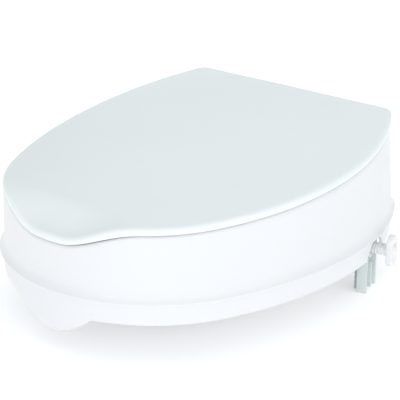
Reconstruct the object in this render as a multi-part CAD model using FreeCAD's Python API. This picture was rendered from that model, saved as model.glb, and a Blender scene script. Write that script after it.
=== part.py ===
import FreeCAD, Part
import math
import os

from FreeCAD import Vector

# Raised toilet seat with a lid and two screw clamps.
# Millimetres. +Z is up, -Y is the front of the bowl, +X is the left hand of a seated person.
# The origin is the middle of the plane in which the rubber rim pads rest on the bowl.

# --- Seat body, overall ---
surface_step = 11.3        # spacing of the points through which the free surfaces pass
body_width = 366.0
body_depth = 408.0
widest_y = 45.0            # where the body is widest
nose_share = 0.8937        # radius of the rounded front over the half width
rear_side_radius = 282.0   # side curve behind it
rear_corner_radius = 22.0
front_height = 68.5        # seat rim above the lip, at the front
middle_height = 76.0
rear_height = 105.0

# --- Seat body, details ---
wall = 3.0
lip_thickness = 2.2        # straight edge of the lip at the foot of the wall
flare_height = 11.0        # the wall sweeps out over this height into the lip
flare_inset = 4.5          # the wall stands this far inside the lip
top_inset_front = 4.8      # the wall's top edge, inside the lip
top_inset_side = 9.0
top_inset_rear = 11.6
recess_depth = 18.5        # cleansing recess in the front of the seat rim
recess_flat = 15.0         # half width of its level bottom
recess_fade_start = 59.0   # the recess runs back from the tip this far at full depth
recess_fade_end = 149.0    # and has faded out here
dish_depth = 5.0           # the seat surface falls this much towards the aperture
seat_side_width = 77.0     # width of the seat beside the aperture
seat_end_width = 72.0      # and in front of it and behind it
aperture_widest_y = 20.0
aperture_nose_share = 0.7925
aperture_rear_share = 2.075
aperture_corner_share = 0.66
splash_depth = 14.0        # the aperture wall reaches this far below the rim plane
shell_rib = 2.5            # stiffening ribs under the seat surface
boss_radius = 5.5

# --- Base ring ---
pad_standoff = 2.5         # the rim pads stand this far out of the ledge
pad_recess = 1.5
pad_length = 40.0
pad_width = 13.0
ledge = 3.0                # thickness of the ledge that lies on the bowl
band_inset = 4.0           # the band stands this far inside the lip
band_wall = 3.4
band_height = 21.0
flange_width = 4.0         # joins the band to the ledge
flange_height = 1.5
tongue_depth = 20.0        # below the band
tongue_half_width = 50.0
tongue_shoulder_radius = 6.0
tongue_pad_half_width = 18.0
tongue_pad_thickness = 2.5
shadow_gap = 0.3           # between the lip and the band under it
notch_half_width = 24.0
notch_height = 17.5

# --- Screws that hold the base ring ---
screw_count = 8
screw_ring_inset = 4.5     # the ring of screws and pads, inside the middle of the seat's side
screw_ring_centre_y = -2.0
screw_radius = 2.0
screw_length = 14.0
screw_head_radius = 3.8
screw_head_height = 1.8
screw_clearance = 0.25

# --- Lid ---
lid_gap = 0.6
lid_edge_height = 7.0
lid_wall = 2.8
lid_edge_radius = 4.0
lid_inset_front = 4.2
lid_inset_side = 8.4
lid_inset_rear = 11.0
lid_corner_radius = 14.0
lid_crown = 7.0
lid_droop_start = 52.0     # the lid bends down into the front recess from here, behind the tip
lid_droop_end = 8.0
buffer_radius = 7.0
buffer_clearance = 0.3

# --- Lid hinges ---
hinge_spacing_share = 0.41  # of the body's width
hinge_back = 8.0           # axis behind the lid's rear edge
hinge_drop = 9.0           # axis below the rear rim
hinge_barrel_radius = 6.0
hinge_ear_width = 14.0
hinge_lug_width = 6.0
hinge_side_gap = 0.5
hinge_pin_radius = 3.0
hinge_bush_wall = 1.5
running_clearance = 0.08

# --- Side clamps ---
clamp_angle = 13.2         # the clamp axis, turned from +X towards the rear
clamp_axis_z = -11.5
clamp_travel = 7.0
leg_half_width = 15.0
leg_rib = 3.0
leg_plate = 4.0
leg_outer = -8.2           # outer edge of the leg's ribs, measured from the lip
leg_rib_depth = 6.8
leg_bottom = -59.5
arm_length = 40.0
arm_thickness = 3.6
slide_clearance = 0.4
rail = 2.6
lug_half_width = 11.0
lug_thickness = 6.0
lug_drop = 14.0            # lug below the clamp axis
nut_across = 18.0
nut_thickness = 4.4
shank_radius = 6.5
nose_radius = 4.0
knob_seat = 7.5            # inner face of the knob, outside the lip
knob_thickness = 8.5
knob_half_length = 17.5
knob_lobe_radius = 8.5
knob_waist = 6.5
knob_hub_radius = 8.0
knob_hub_step = 1.5
knob_edge_radius = 1.8
spigot_radius = 4.5
spigot_length = 6.0
clip_thickness = 1.2
clip_outer_radius = 7.0
pad_block_height = 30.0
pad_block_thickness = 3.0

def side_radius(half, reach, nose_share):
    """Radius of the side curve that joins the widest point to a rounded front."""
    nose = nose_share * half
    return (half ** 2 + reach ** 2 - 2 * reach * nose) / (2 * (half - nose))


# --- Derived places ---
half_width = body_width / 2
front_y = -body_depth / 2
rear_y = body_depth / 2
front_side_radius = side_radius(half_width, widest_y - front_y, nose_share)
recess_half_width = half_width / 2
aperture_half_width = half_width - seat_side_width
aperture_front = front_y + seat_end_width
aperture_rear = rear_y - seat_end_width
aperture_front_radius = side_radius(aperture_half_width, aperture_widest_y - aperture_front,
                                    aperture_nose_share)
aperture_rear_radius = aperture_rear_share * aperture_half_width
aperture_corner_radius = aperture_corner_share * aperture_half_width
screw_ring_x = (half_width + aperture_half_width) / 2 - screw_ring_inset
screw_ring_y = (rear_y + aperture_rear) / 2
hinge_spacing = hinge_spacing_share * body_width
ledge_z = pad_standoff
ledge_top = ledge_z + ledge
lip_z = ledge_z + shadow_gap
band_bottom = ledge_z - band_height
rim_slope = (rear_height - front_height) / body_depth
rim_curve = (rear_height + front_height - 2 * middle_height) / 2 / (body_depth / 2) ** 2
hinge_y = rear_y - lid_inset_rear + hinge_back
SIDES = (("right", 1), ("left", -1))


def smooth(value, low, high):
    """Smooth step from 0 at low to 1 at high."""
    u = min(max((value - low) / (high - low), 0.0), 1.0)
    return u * u * (3 - 2 * u)


def outline(half, front, rear, widest, radius_front, radius_rear, corner, z):
    """Closed wire of tangent arcs: nose, two side curves, rear corners and a straight rear edge."""
    side_x = half - radius_front
    reach = widest - front
    nose = (side_x ** 2 + reach ** 2 - radius_front ** 2) / (2 * (reach - radius_front))
    nose_y = front + nose
    gap = math.hypot(side_x, nose_y - widest)
    turn = Vector(-side_x / gap, (nose_y - widest) / gap, 0)
    p_nose = Vector(turn.x * nose, nose_y + turn.y * nose, z)
    back_x = half - radius_rear
    corner_y = rear - corner
    corner_x = back_x + math.sqrt((radius_rear - corner) ** 2 - (corner_y - widest) ** 2)
    back = math.atan2(corner_y - widest, corner_x - back_x)
    p_back = Vector(back_x + radius_rear * math.cos(back), widest + radius_rear * math.sin(back), z)
    p_side = Vector(half, widest, z)
    p_rear = Vector(corner_x, rear, z)
    a_nose = math.atan2(turn.y, turn.x)
    m_front = Vector(side_x + radius_front * math.cos(a_nose / 2),
                     widest + radius_front * math.sin(a_nose / 2), z)
    m_back = Vector(back_x + radius_rear * math.cos(back / 2),
                    widest + radius_rear * math.sin(back / 2), z)
    a_corner = (back + math.pi / 2) / 2
    m_corner = Vector(corner_x + corner * math.cos(a_corner), corner_y + corner * math.sin(a_corner), z)

    def flip(p):
        return Vector(-p.x, p.y, p.z)

    tip = Vector(0, front, z)
    edges = [
        Part.Arc(flip(p_nose), tip, p_nose),
        Part.Arc(p_nose, m_front, p_side),
        Part.Arc(p_side, m_back, p_back),
        Part.Arc(p_back, m_corner, p_rear),
        Part.LineSegment(p_rear, flip(p_rear)),
        Part.Arc(flip(p_rear), flip(m_corner), flip(p_back)),
        Part.Arc(flip(p_back), flip(m_back), flip(p_side)),
        Part.Arc(flip(p_side), flip(m_front), flip(p_nose)),
    ]
    return Part.Wire([e.toShape() for e in edges])


def body_outline(z, side, front=None, rear=None, corner=None):
    """The body's outline, moved in from the lip by the given insets."""
    front = side if front is None else front
    rear = side if rear is None else rear
    corner = max(rear_corner_radius - side, 6.0) if corner is None else corner
    return outline(half_width - side, front_y + front, rear_y - rear, widest_y,
                   front_side_radius - side, rear_side_radius - side, corner, z)


def aperture_outline(z, grow=0.0):
    return outline(aperture_half_width + grow, aperture_front - grow, aperture_rear + grow,
                   aperture_widest_y, aperture_front_radius + grow, aperture_rear_radius + grow,
                   aperture_corner_radius + grow, z)


def prism(wire, height):
    return Part.Face(wire).extrude(Vector(0, 0, height))


def ring(outer, inner, height):
    return prism(outer, height).cut(prism(inner, height))


def rim_height(y):
    """Height of the seat's rim, before the front recess."""
    return lip_z + middle_height + rim_slope * y + rim_curve * y * y


def recess(x, y, start, end):
    """Share of the front recess: a level middle, S-curved sides, full up to start and gone by end."""
    across = 1 - smooth(abs(x), recess_flat, recess_half_width)
    return across * (1 - smooth(y - front_y, start, end))


def seat_top(x, y):
    bowl = 1 - smooth(math.hypot(x / aperture_half_width, (y - 5) / aperture_rear), 0.9, 1.5)
    return seat_rim(x, y) - dish_depth * bowl


def lid_top(x, y):
    share = min((x / half_width) ** 2 + (y / rear_y) ** 2, 1.0)
    droop = recess_depth * recess(x, y, lid_droop_end, lid_droop_start)
    return rim_height(y) + lid_gap + lid_edge_height + lid_crown * (1 - share) ** 1.5 - droop


def space_above(height, lift=0.0):
    """Solid that fills everything above the surface z = height(x, y) + lift."""
    columns = 2 * round(half_width / surface_step) + 1
    rows = 2 * round(rear_y / surface_step) + 1
    grid = []
    for i in range(columns):
        x = -half_width * 1.1 + 2.2 * half_width * i / (columns - 1)
        row = []
        for j in range(rows):
            y = front_y * 1.1 + 1.1 * body_depth * j / (rows - 1)
            row.append(Vector(x, y, height(x, y) + lift))
        grid.append(row)
    surface = Part.BSplineSurface()
    surface.interpolate(grid)
    return surface.toShape().extrude(Vector(0, 0, 200))


def box(x0, x1, y0, y1, z0, z1):
    return Part.makeBox(x1 - x0, y1 - y0, z1 - z0, Vector(x0, y0, z0))


def rod(radius, start, end, axis=Vector(1, 0, 0)):
    """Cylinder along an axis through the origin, from start to end."""
    return Part.makeCylinder(radius, end - start, axis * start, axis)


def mirrored(shape, side):
    return shape if side > 0 else shape.mirror(Vector(0, 0, 0), Vector(1, 0, 0))


def clamp_place(shape, side):
    """Clamp pieces are drawn with +X out of the body and y = 0 on the axis, then set against the lip."""
    shape = shape.copy()
    angle = math.radians(clamp_angle)
    shape.rotate(Vector(0, 0, 0), Vector(0, 0, 1), clamp_angle)
    shape.translate(Vector(half_width - rear_side_radius * (1 - math.cos(angle)),
                           widest_y + rear_side_radius * math.sin(angle), 0))
    return mirrored(shape, side)


def on_ring(degrees):
    a = math.radians(degrees)
    return Vector(screw_ring_x * math.cos(a), screw_ring_centre_y + screw_ring_y * math.sin(a), 0)


def save(name, shape):
    shape = shape.removeSplitter() if len(shape.Solids) == 1 else shape
    shape.exportStep("parts/%s.step" % name)
    print("%-24s solids %d valid %s volume %.0f" % (name, len(shape.Solids), shape.isValid(), shape.Volume))


def screw_places():
    return [on_ring(360.0 * (k + 0.5) / screw_count) for k in range(screw_count)]


def make_seat_shell():
    """Upper moulding: drafted wall with a flared lip, dished seat surface and aperture wall."""
    top_z = rear_height + 40
    foot = lip_z + lip_thickness
    wall_foot = foot + flare_height

    def above(inset, height):
        """Inset at top_z of a wall that has the given inset at the given height above the lip."""
        return flare_inset + (inset - flare_inset) * (top_z - wall_foot) / (lip_z + height - wall_foot)

    top_insets = (above(top_inset_side, middle_height), above(top_inset_front, front_height),
                  above(top_inset_rear, rear_height))
    sections = [body_outline(lip_z, 0), body_outline(foot, 0)]
    for share, inset in ((0.25, 0.45), (0.5, 0.72), (1.0, 1.0)):
        sections.append(body_outline(foot + share * flare_height, inset * flare_inset))
    sections.append(body_outline(top_z, *top_insets))
    outer = Part.makeLoft(sections, True, True)
    outer = outer.cut(space_above(seat_top))
    outer = outer.cut(prism(aperture_outline(-50), 300))
    low = flare_inset + wall
    hollow = Part.makeLoft([
        body_outline(lip_z - 1, low), body_outline(wall_foot, low),
        body_outline(top_z, *(inset + wall for inset in top_insets))], True, True)
    hollow = hollow.cut(space_above(seat_top, -wall))
    hollow = hollow.cut(prism(aperture_outline(-50, wall), 300))
    shell = outer.cut(hollow)
    inside = prism(body_outline(ledge_top, low), 300).cut(space_above(seat_top, -wall / 2))
    inside = inside.cut(prism(aperture_outline(-50, wall / 2), 400))
    for place in screw_places():
        boss = Part.makeCylinder(boss_radius, 200, place + Vector(0, 0, ledge_top))
        pilot = Part.makeCylinder(screw_radius, screw_length, place + Vector(0, 0, ledge_top))
        shell = shell.fuse(boss.common(inside)).cut(pilot)
    for angle in (0, 180, 250, 290):
        a = math.radians(angle)
        plate = box(0, 300, -shell_rib / 2, shell_rib / 2, 30, 200)
        plate.rotate(Vector(0, 0, 0), Vector(0, 0, 1), math.degrees(a))
        shell = shell.fuse(plate.common(inside))
    splash = ring(aperture_outline(-splash_depth, wall), aperture_outline(-splash_depth),
                  splash_depth + lip_z + 6)
    shell = shell.fuse(splash)
    for _, side in SIDES:
        shell = shell.fuse(mirrored(hinge_lugs(), side))
    for _, side in SIDES:
        bore = rod(hinge_pin_radius, -hinge_ear_width, hinge_ear_width)
        bore.translate(hinge_centre(side))
        shell = shell.cut(bore)
    return shell


def hinge_centre(side):
    return Vector(side * hinge_spacing / 2, hinge_y, rim_height(rear_y) - hinge_drop)


def hinge_lugs():
    """Two lugs on the rear wall, one each side of a lid ear."""
    lugs = []
    reach = hinge_y - (rear_y - top_inset_rear - wall)
    for sign in (-1, 1):
        inner = hinge_ear_width / 2 + hinge_side_gap
        start = inner if sign > 0 else -inner - hinge_lug_width
        eye = rod(hinge_barrel_radius, start, start + hinge_lug_width)
        root = box(start, start + hinge_lug_width, -reach, 0, -3 * hinge_barrel_radius, 0)
        corners = ((0, -hinge_barrel_radius), (20, -hinge_barrel_radius), (20, -60), (-reach, -60),
                   (-reach, -3 * hinge_barrel_radius), (0, -hinge_barrel_radius))
        taper = Part.makePolygon([Vector(start, y, z) for y, z in corners])
        wedge = Part.Face(taper).extrude(Vector(hinge_lug_width, 0, 0))
        lugs.append(eye.fuse(root.cut(wedge)))
    lug = lugs[0].fuse(lugs[1])
    lug.translate(hinge_centre(1))
    return lug


def tongue_profile():
    """Front view of the tongue: one broad arc that meets the band in two small shoulders."""
    bottom = band_bottom - tongue_depth
    small = tongue_shoulder_radius
    both = (tongue_half_width ** 2 + tongue_depth ** 2) / (2 * tongue_depth)
    turn = math.asin(tongue_half_width / both)
    left = []
    for angle in (0, turn / 2, turn):
        left.append(Vector(small * math.sin(angle) - tongue_half_width, 0,
                           band_bottom - small * (1 - math.cos(angle))))
    right = [Vector(-p.x, 0, p.z) for p in reversed(left)]
    top = ledge_z
    edges = [Part.Arc(*left), Part.Arc(left[2], Vector(0, 0, bottom), right[0]), Part.Arc(*right)]
    wires = [e.toShape() for e in edges]
    wires += [Part.makeLine(right[2], Vector(tongue_half_width, 0, top)),
              Part.makeLine(Vector(tongue_half_width, 0, top), Vector(-tongue_half_width, 0, top)),
              Part.makeLine(Vector(-tongue_half_width, 0, top), left[0])]
    face = Part.Face(Part.Wire(wires))
    return face.extrude(Vector(0, 2 * front_y, 0))


def make_base_ring():
    """Lower moulding: ledge on the bowl's rim, band around it, front tongue and clamp guides."""
    nest = flare_inset + wall + shadow_gap
    base = ring(body_outline(ledge_z, nest), aperture_outline(ledge_z, wall + shadow_gap), ledge)
    outer = body_outline(band_bottom, band_inset)
    inner = body_outline(band_bottom, band_inset + band_wall)
    base = base.fuse(ring(outer, inner, band_height))
    flange_z = ledge_z - flange_height
    base = base.fuse(ring(body_outline(flange_z, band_inset),
                          body_outline(flange_z, band_inset + band_wall + flange_width), flange_height))
    low = band_bottom - tongue_depth
    deep = ring(body_outline(low - 1, band_inset), body_outline(low - 1, band_inset + band_wall),
                ledge_z - low + 1)
    base = base.fuse(deep.common(tongue_profile()))
    for _, side in SIDES:
        base = base.cut(clamp_place(notch_shape(), side))
        base = base.cut(clamp_place(leg_slot(), side))
        base = base.fuse(clamp_place(clamp_guides(), side))
    for place in screw_places():
        hole = Part.makeCylinder(screw_radius + screw_clearance, 20, place)
        sink = Part.makeCylinder(screw_head_radius + screw_clearance, screw_head_height,
                                 place + Vector(0, 0, ledge_z))
        base = base.cut(hole).cut(sink)
    for angle in pad_angles():
        base = base.cut(rim_pad(angle, ledge_z, pad_recess))
    return base


def notch_shape():
    """Arched notch in the band for the clamp screw."""
    half = notch_half_width
    low = band_bottom
    arc = Part.Arc(Vector(0, -half, low), Vector(0, 0, low + notch_height), Vector(0, half, low)).toShape()
    drop = Vector(0, 0, -5)
    foot = Part.makePolygon([Vector(0, half, low), Vector(0, half, low) + drop,
                             Vector(0, -half, low) + drop, Vector(0, -half, low)])
    face = Part.Face(Part.Wire([arc] + foot.Edges))
    face.translate(Vector(leg_outer + 0.2, 0, 0))
    return face.extrude(Vector(20, 0, 0))


def leg_inner():
    return leg_outer - leg_rib_depth - leg_plate


def leg_slot():
    """Slot in the ledge through which the clamp leg hangs and slides."""
    y = leg_half_width + slide_clearance
    return box(leg_inner() - clamp_travel - slide_clearance, leg_inner() + leg_plate + slide_clearance,
               -y, y, ledge_z - 5, ledge_top + 1)


def clamp_guides():
    """Rails beside the clamp arm, a bridge over it and the lug that holds the nut."""
    y = leg_half_width + slide_clearance
    start = leg_inner() - clamp_travel - arm_length - 4
    end = leg_inner() - clamp_travel - 4
    top = ledge_top + arm_thickness + 2 * slide_clearance
    guides = box(start, end, y, y + rail, ledge_top - 1, top + rail)
    guides = guides.fuse(box(start, end, -y - rail, -y, ledge_top - 1, top + rail))
    guides = guides.fuse(box(end - 14, end, -y - rail, y + rail, top, top + rail))
    face = leg_outer - 0.3
    lug = box(face - lug_thickness, face, -lug_half_width, lug_half_width, clamp_axis_z, ledge_top)
    lug = lug.fuse(moved(rod(lug_half_width, face - lug_thickness, face), clamp_axis_z))
    lug = lug.cut(box(-40, 10, -40, 40, -60, clamp_axis_z - lug_drop))
    lug = lug.cut(moved(nut_blank(face - nut_thickness, face + 1, 0.05), clamp_axis_z))
    lug = lug.cut(moved(rod(shank_radius + 0.4, face - lug_thickness - 1, face + 1), clamp_axis_z))
    return guides.fuse(lug)


def moved(shape, z):
    shape = shape.copy()
    shape.translate(Vector(0, 0, z))
    return shape


def nut_blank(start, end, grow=0.0):
    """Hexagonal prism along the clamp axis."""
    r = (nut_across / 2 + grow) / math.cos(math.pi / 6)
    points = [Vector(start, r * math.sin(math.radians(60 * k)), r * math.cos(math.radians(60 * k)))
              for k in range(7)]
    return Part.Face(Part.makePolygon(points)).extrude(Vector(end - start, 0, 0))


def pad_angles():
    return (-45, -135, 135, 45)


def rim_pad(angle, z, height, shrink=0.0):
    """Stadium-shaped pad that follows the bowl's rim."""
    radius = pad_width / 2 - shrink
    half = (pad_length - pad_width) / 2
    pad = box(-half, half, -radius, radius, z, z + height)
    for x in (-half, half):
        pad = pad.fuse(Part.makeCylinder(radius, height, Vector(x, 0, z)))
    place = on_ring(angle)
    a = math.radians(angle)
    run = math.degrees(math.atan2(screw_ring_y * math.cos(a), -screw_ring_x * math.sin(a)))
    pad.rotate(Vector(0, 0, 0), Vector(0, 0, 1), run)
    pad.translate(Vector(place.x, place.y, 0))
    return pad


def make_base_screws():
    """Pan-head screws, driven up through the ledge into the seat shell's bosses."""
    screws = []
    for place in screw_places():
        head_z = ledge_z + screw_head_height
        head = Part.makeCylinder(screw_head_radius, screw_head_height - 0.2,
                                 place + Vector(0, 0, ledge_z + 0.2))
        shank = Part.makeCylinder(screw_radius - 0.05, screw_length, place + Vector(0, 0, head_z - 0.5))
        cross = Part.makeBox(4.4, 1.0, 1.0, place + Vector(-2.2, -0.5, ledge_z))
        cross = cross.fuse(Part.makeBox(1.0, 4.4, 1.0, place + Vector(-0.5, -2.2, ledge_z)))
        screws.append(head.fuse(shank).cut(cross))
    return Part.Compound(screws)


def make_tongue_pad():
    outer = band_inset + band_wall
    bottom = band_bottom - tongue_depth / 2
    pad = ring(body_outline(bottom, outer), body_outline(bottom, outer + tongue_pad_thickness), -bottom - 4)
    half = tongue_pad_half_width
    return pad.common(box(-half, half, front_y, 0, bottom, 0))


def lid_outline(z, inset):
    return body_outline(z, lid_inset_side + inset, lid_inset_front + inset, lid_inset_rear + inset,
                        lid_corner_radius - inset)


def make_lid():
    """Thin crowned cover whose skirt follows the seat rim, with two hinge ears."""
    lid = prism(lid_outline(20, 0), 150).cut(space_above(lid_top))
    crown = [f for f in lid.Faces if isinstance(f.Surface, Part.BSplineSurface)][0]
    lid = lid.makeFillet(lid_edge_radius, crown.Edges)
    hollow = prism(lid_outline(20, lid_wall), 150).cut(space_above(lid_top, -lid_wall))
    below = prism(lid_outline(0, -20), 200).cut(space_above(seat_rim, lid_gap))
    lid = lid.cut(below).cut(hollow)
    for _, side in SIDES:
        lid = lid.fuse(mirrored(hinge_ear(), side))
    for _, side in SIDES:
        bore = rod(hinge_pin_radius + hinge_bush_wall, -hinge_ear_width, hinge_ear_width)
        bore.translate(hinge_centre(side))
        lid = lid.cut(bore)
    return lid


def seat_rim(x, y):
    """Rim of the seat, carried over the aperture: the lid's skirt stops above this."""
    return rim_height(y) - recess_depth * recess(x, y, recess_fade_start, recess_fade_end)


def hinge_ear():
    """Ear that runs down and back from the lid's rear skirt to the hinge axis."""
    half = hinge_ear_width / 2
    r = hinge_barrel_radius
    rise = hinge_drop + lid_gap + lid_edge_height - 1.5
    eye = rod(r, -half, half)
    front = -hinge_back - lid_wall
    low = hinge_drop + lid_gap + 1
    side_view = ((front, low), (-hinge_back - 0.4, low), (-r * 0.9, 2), (r, 0), (r * 0.75, r),
                 (0.5 - hinge_back, rise), (front, rise), (front, low))
    arm = Part.makePolygon([Vector(-half, y, z) for y, z in side_view])
    ear = eye.fuse(Part.Face(arm).extrude(Vector(hinge_ear_width, 0, 0)))
    ear.translate(hinge_centre(1))
    return ear


def make_pin(side):
    length = hinge_ear_width + 2 * hinge_side_gap + 2 * hinge_lug_width
    pin = rod(hinge_pin_radius, -length / 2, length / 2)
    head = rod(hinge_pin_radius + 1.5, length / 2, length / 2 + 1.5)
    pin = pin.fuse(head)
    pin = mirrored(pin, side)
    pin.translate(hinge_centre(side))
    return pin


def make_bush(side):
    half = hinge_ear_width / 2
    bush = rod(hinge_pin_radius + hinge_bush_wall, -half, half)
    bush = bush.cut(rod(hinge_pin_radius + running_clearance, -half - 1, half + 1))
    bush.translate(hinge_centre(side))
    return bush


def make_buffer(side, angle):
    """Soft stop under the lid, from its inner face to just above the seat surface."""
    place = on_ring(angle)
    place = Vector(side * abs(place.x), place.y, 0)
    post = Part.makeCylinder(buffer_radius, 200, place)
    post = post.cut(space_above(lid_top, -lid_wall))
    below = prism(lid_outline(0, -20), 200).cut(space_above(seat_top, buffer_clearance))
    return post.cut(below)


def make_clamp_bracket():
    """Leg with stiffening ribs, hung from an arm that slides on top of the ledge."""
    inner = leg_inner()
    face = inner + leg_plate
    half = leg_half_width
    arm_z = ledge_top + slide_clearance
    leg = box(inner, face, -half, half, leg_bottom, arm_z + arm_thickness)
    leg = leg.fuse(box(inner - arm_length, face, -half, half, arm_z, arm_z + arm_thickness))
    rib_top = ledge_z - 2 * flange_height - 0.5
    for y in (-half, half - leg_rib):
        leg = leg.fuse(box(face, leg_outer, y, y + leg_rib, leg_bottom, rib_top))
    web_top = clamp_axis_z - lug_drop - 3
    leg = leg.fuse(box(face, leg_outer, -leg_rib / 2, leg_rib / 2, leg_bottom + 2, web_top))
    hole = moved(rod(nose_radius + 0.3, inner - 1, face + 1), clamp_axis_z)
    recess_hole = moved(rod(clip_outer_radius + 0.3, inner - 1, inner + 2.6), clamp_axis_z)
    return leg.cut(hole).cut(recess_hole)


def make_clamp_pad():
    """Rubber block on the leg's inner face, grooved across for grip."""
    inner = leg_inner()
    half = leg_half_width - 1.5
    bottom = leg_bottom + 3
    pad = box(inner - pad_block_thickness, inner, -half, half, bottom, bottom + pad_block_height)
    groove = 1.2
    count = 5
    for k in range(count):
        z = bottom + pad_block_height * (k + 1) / (count + 1)
        pad = pad.cut(box(inner - pad_block_thickness - 1, inner - pad_block_thickness + groove,
                          -half - 1, half + 1, z - groove / 2, z + groove / 2))
    return pad


def make_clamp_screw():
    """Coarse-threaded shank with a nose that turns in the leg and a spigot for the knob."""
    shoulder = leg_inner() + leg_plate + 0.3
    tip = leg_inner() + 0.4
    screw = rod(shank_radius, shoulder, knob_seat)
    screw = screw.fuse(rod(nose_radius, tip, shoulder))
    screw = screw.fuse(rod(spigot_radius, knob_seat, knob_seat + spigot_length))
    flat = box(knob_seat, knob_seat + spigot_length, -9, 9, spigot_radius - 1, 9)
    screw = screw.cut(flat)
    clip_z = leg_inner() + 1.2
    groove = rod(nose_radius + 1, clip_z, clip_z + clip_thickness)
    groove = groove.cut(rod(nose_radius - 0.8, clip_z, clip_z + clip_thickness))
    return moved(screw.cut(groove), clamp_axis_z)


def make_clamp_clip():
    clip_z = leg_inner() + 1.2
    clip = rod(clip_outer_radius - 0.5, clip_z, clip_z + clip_thickness)
    clip = clip.cut(rod(nose_radius - 0.8, clip_z - 1, clip_z + clip_thickness + 1))
    clip = clip.cut(box(-60, 0, -1.5, 1.5, -20, 0))
    return moved(clip, clamp_axis_z)


def make_clamp_nut():
    face = leg_outer - 0.3
    nut = nut_blank(face - nut_thickness, face)
    nut = nut.cut(rod(shank_radius + running_clearance, face - 10, face + 10))
    return moved(nut, clamp_axis_z)


def wing_outline(x):
    """Two round lobes, up and down, joined by hollow flanks: four tangent arcs."""
    lobe = knob_lobe_radius
    centre = knob_half_length - lobe
    flank = (knob_waist ** 2 + centre ** 2 - lobe ** 2) / (2 * (lobe - knob_waist))
    share = lobe / (lobe + flank)
    touch = Vector(x, (flank + knob_waist) * share, centre * (1 - share))
    quads = [Vector(x, touch.y * a, touch.z * b) for a, b in ((1, 1), (-1, 1), (-1, -1), (1, -1))]
    edges = [Part.Arc(quads[0], Vector(x, 0, knob_half_length), quads[1]),
             Part.Arc(quads[1], Vector(x, -knob_waist, 0), quads[2]),
             Part.Arc(quads[2], Vector(x, 0, -knob_half_length), quads[3]),
             Part.Arc(quads[3], Vector(x, knob_waist, 0), quads[0])]
    return Part.Wire([e.toShape() for e in edges])


def make_clamp_knob():
    """Two-winged hand knob, wings up and down, with a raised hub."""
    face = knob_seat
    end = face + knob_thickness
    plate = Part.Face(wing_outline(face + knob_hub_step))
    plate = plate.extrude(Vector(knob_thickness - knob_hub_step, 0, 0))
    knob = plate.makeFillet(knob_edge_radius, plate.Edges)
    knob = knob.fuse(rod(knob_hub_radius, face, end + knob_hub_step))
    bore = rod(spigot_radius, face - 1, face + spigot_length)
    bore = bore.cut(box(face - 2, face + spigot_length + 1, -9, 9, spigot_radius - 1, 9))
    return moved(knob.cut(bore), clamp_axis_z)


os.makedirs("parts", exist_ok=True)
save("seat_shell", make_seat_shell())
save("base_ring", make_base_ring())
save("base_screws", make_base_screws())
save("tongue_pad", make_tongue_pad())
save("lid", make_lid())
for pad_name, pad_angle in zip(("front_right", "front_left", "rear_left", "rear_right"), pad_angles()):
    save("rim_pad_" + pad_name, rim_pad(pad_angle, 0, pad_standoff + pad_recess))
for side_name, side_sign in SIDES:
    save("lid_hinge_pin_" + side_name, make_pin(side_sign))
    save("lid_hinge_bush_" + side_name, make_bush(side_sign))
    save("lid_buffer_front_" + side_name, make_buffer(side_sign, -38))
    save("lid_buffer_rear_" + side_name, make_buffer(side_sign, 58))
    save("clamp_bracket_" + side_name, clamp_place(make_clamp_bracket(), side_sign))
    save("clamp_pad_" + side_name, clamp_place(make_clamp_pad(), side_sign))
    save("clamp_screw_" + side_name, clamp_place(make_clamp_screw(), side_sign))
    save("clamp_clip_" + side_name, clamp_place(make_clamp_clip(), side_sign))
    save("clamp_nut_" + side_name, clamp_place(make_clamp_nut(), side_sign))
    save("clamp_knob_" + side_name, clamp_place(make_clamp_knob(), side_sign))
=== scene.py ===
import math

import bmesh
import bpy
import numpy as np
from bpy.props import FloatProperty, FloatVectorProperty, PointerProperty
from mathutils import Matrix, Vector


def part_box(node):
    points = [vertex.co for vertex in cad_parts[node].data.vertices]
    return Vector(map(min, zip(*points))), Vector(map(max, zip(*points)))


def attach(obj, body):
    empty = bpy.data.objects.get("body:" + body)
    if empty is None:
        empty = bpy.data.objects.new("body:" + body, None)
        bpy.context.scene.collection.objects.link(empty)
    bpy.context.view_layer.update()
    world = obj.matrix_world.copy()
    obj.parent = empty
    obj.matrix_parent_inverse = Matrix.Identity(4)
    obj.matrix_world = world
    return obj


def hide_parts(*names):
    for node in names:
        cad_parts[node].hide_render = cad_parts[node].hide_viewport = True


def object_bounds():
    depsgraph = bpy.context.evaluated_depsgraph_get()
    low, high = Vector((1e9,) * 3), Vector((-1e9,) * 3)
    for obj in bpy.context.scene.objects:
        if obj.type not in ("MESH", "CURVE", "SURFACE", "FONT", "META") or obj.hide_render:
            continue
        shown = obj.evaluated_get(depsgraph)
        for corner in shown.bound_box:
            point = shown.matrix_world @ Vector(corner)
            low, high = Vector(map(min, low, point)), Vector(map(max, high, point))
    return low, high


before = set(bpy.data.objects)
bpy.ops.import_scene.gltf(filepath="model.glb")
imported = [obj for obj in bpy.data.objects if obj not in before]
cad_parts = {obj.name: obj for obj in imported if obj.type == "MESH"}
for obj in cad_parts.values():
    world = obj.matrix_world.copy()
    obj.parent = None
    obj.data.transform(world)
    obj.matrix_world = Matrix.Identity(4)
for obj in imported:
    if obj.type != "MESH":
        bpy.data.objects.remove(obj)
CAD_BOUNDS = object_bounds()

bl_info = {
    "name": "Raised Toilet Seat",
    "version": (1, 0, 0),
    "blender": (4, 5, 0),
    "location": "View3D > Sidebar > Raised Seat",
    "description": "Builds the mouldings, lid, clamps and finishes of a raised toilet seat round its frame",
    "category": "Object",
}

MM = 0.001
SIDES = (("right", 1), ("left", -1))
RING_LOW, RING_HIGH = (np.array(corner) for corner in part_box("base_ring"))
PIN_LOW, PIN_HIGH = (np.array(corner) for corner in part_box("lid_hinge_pin_right"))
SCREWS_LOW, SCREWS_HIGH = (np.array(corner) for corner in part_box("base_screws"))


def length(name, description, default):
    return FloatProperty(name=name, description=description, default=default, unit="LENGTH")


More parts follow.
